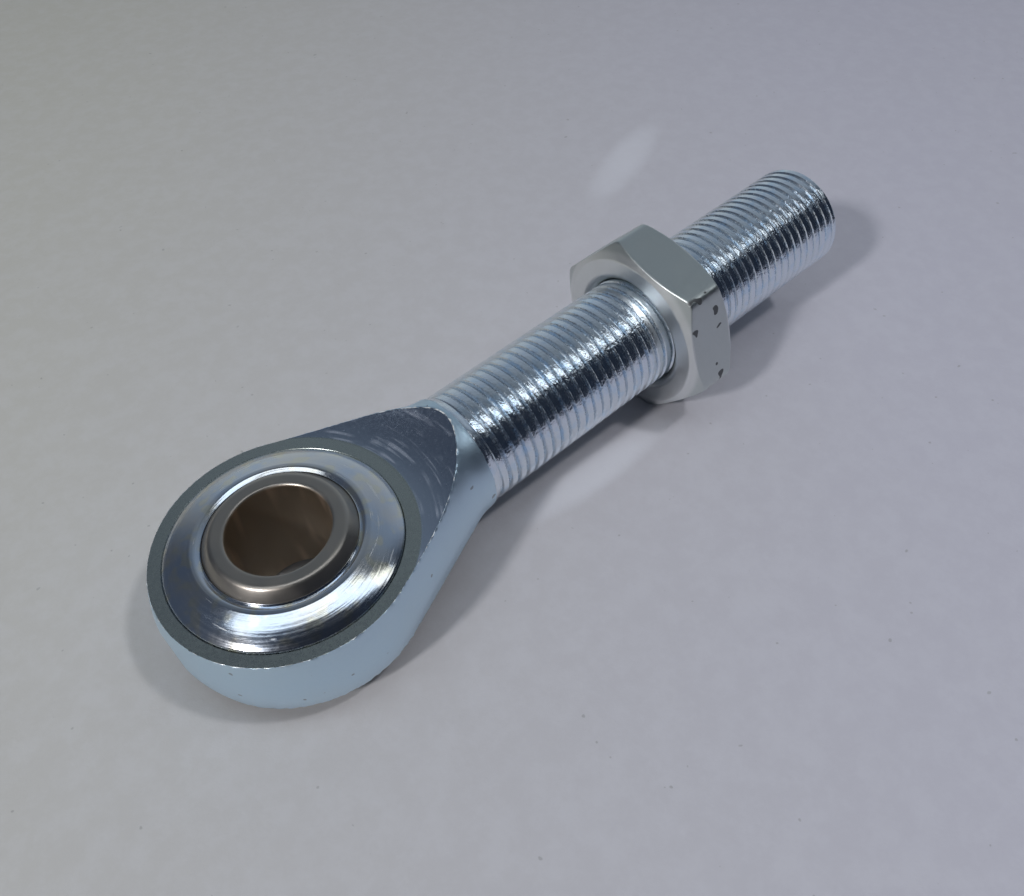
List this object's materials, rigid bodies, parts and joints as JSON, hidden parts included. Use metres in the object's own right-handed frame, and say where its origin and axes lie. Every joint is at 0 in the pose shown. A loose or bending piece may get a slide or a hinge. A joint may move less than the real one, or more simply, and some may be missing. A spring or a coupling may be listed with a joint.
{
  "type": "rod end bearing",
  "caption": "Male rod end: a ball with a plain bore in a race pressed into an eye, on a long threaded shank with a thin hexagon lock nut.",
  "frame": {"origin": "centre of the ball, on the axis of its bore and on the axis of the shank", "axes": "+X along the shank from the ball to the free threaded end, +Z along the bore of the ball, Y across the eye"},
  "size_m": [0.1111, 0.0324, 0.0264],
  "materials": {
    "zinc_plate": "bright blue-white zinc plate with turning marks",
    "race_plate": "shiny zinc plate with fine turning marks",
    "bearing_steel": "ground hardened steel, slightly brown",
    "nut_plate": "satin zinc plate"
  },
  "bodies": {
    "rod": {"rod_end_body": "zinc_plate", "race": "race_plate"},
    "ball": {"ball": "bearing_steel"},
    "lock_nut": {"lock_nut": "nut_plate"}
  },
  "joints": [
    {"name": "ball_tilt", "type": "hinge", "parent": "rod", "child": "ball", "pos_m": [0, 0, 0], "axis": [0, 1, 0], "range_deg": [-8, 8]},
    {"name": "nut_travel", "type": "slide", "parent": "rod", "child": "lock_nut", "axis": [1, 0, 0], "range_m": [-0.027, 0.03]}
  ]
}
